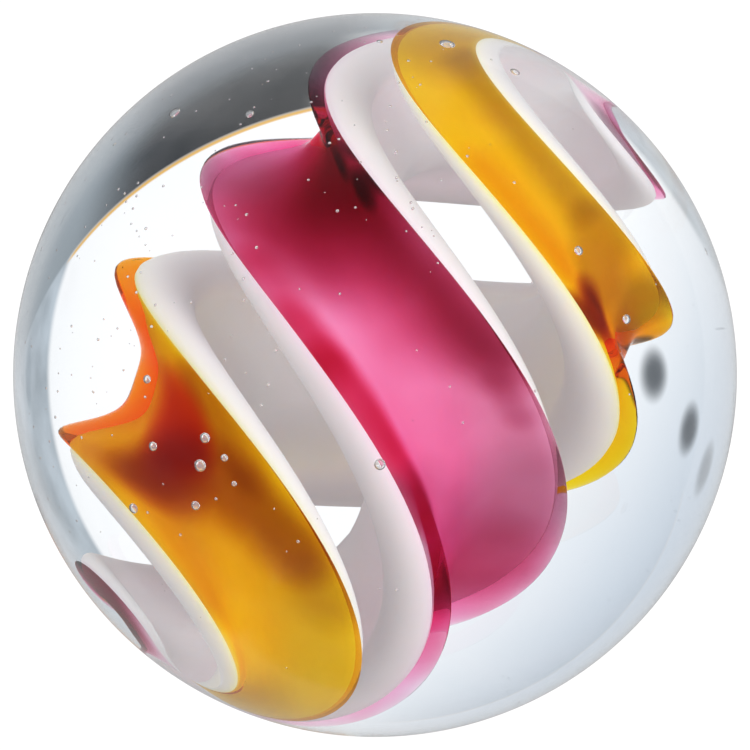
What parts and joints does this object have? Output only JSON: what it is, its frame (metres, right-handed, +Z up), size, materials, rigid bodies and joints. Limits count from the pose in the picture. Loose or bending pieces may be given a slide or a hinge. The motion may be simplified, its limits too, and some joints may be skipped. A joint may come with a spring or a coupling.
{
  "type": "glass marble",
  "caption": "Clear glass ball with a magenta and an amber ribbon, each backed with white glass, wound inside it as a left-handed double helix.",
  "frame": {"origin": "the middle of the ball", "axes": "+Z is up as the marble lies. The ball is round about every axis. The ribbons' twist axis runs through near its middle, leaned 30.3 degrees to +X and then 40.7 degrees to +Y from +Z, and the widest stretch of magenta faces -Y."},
  "size_m": [0.016, 0.016, 0.016],
  "materials": {
    "clear_glass": "fire-polished clear soda-lime glass with a few seeds",
    "white_glass": "white opal glass, seen through clear glass",
    "magenta_glass": "transparent magenta glass over white",
    "amber_glass": "transparent amber glass over white"
  },
  "bodies": {
    "root": {"clear_body": "clear_glass", "white_under_magenta": "white_glass", "magenta_ribbon": "magenta_glass", "white_under_amber": "white_glass", "amber_ribbon": "amber_glass"}
  },
  "joints": []
}
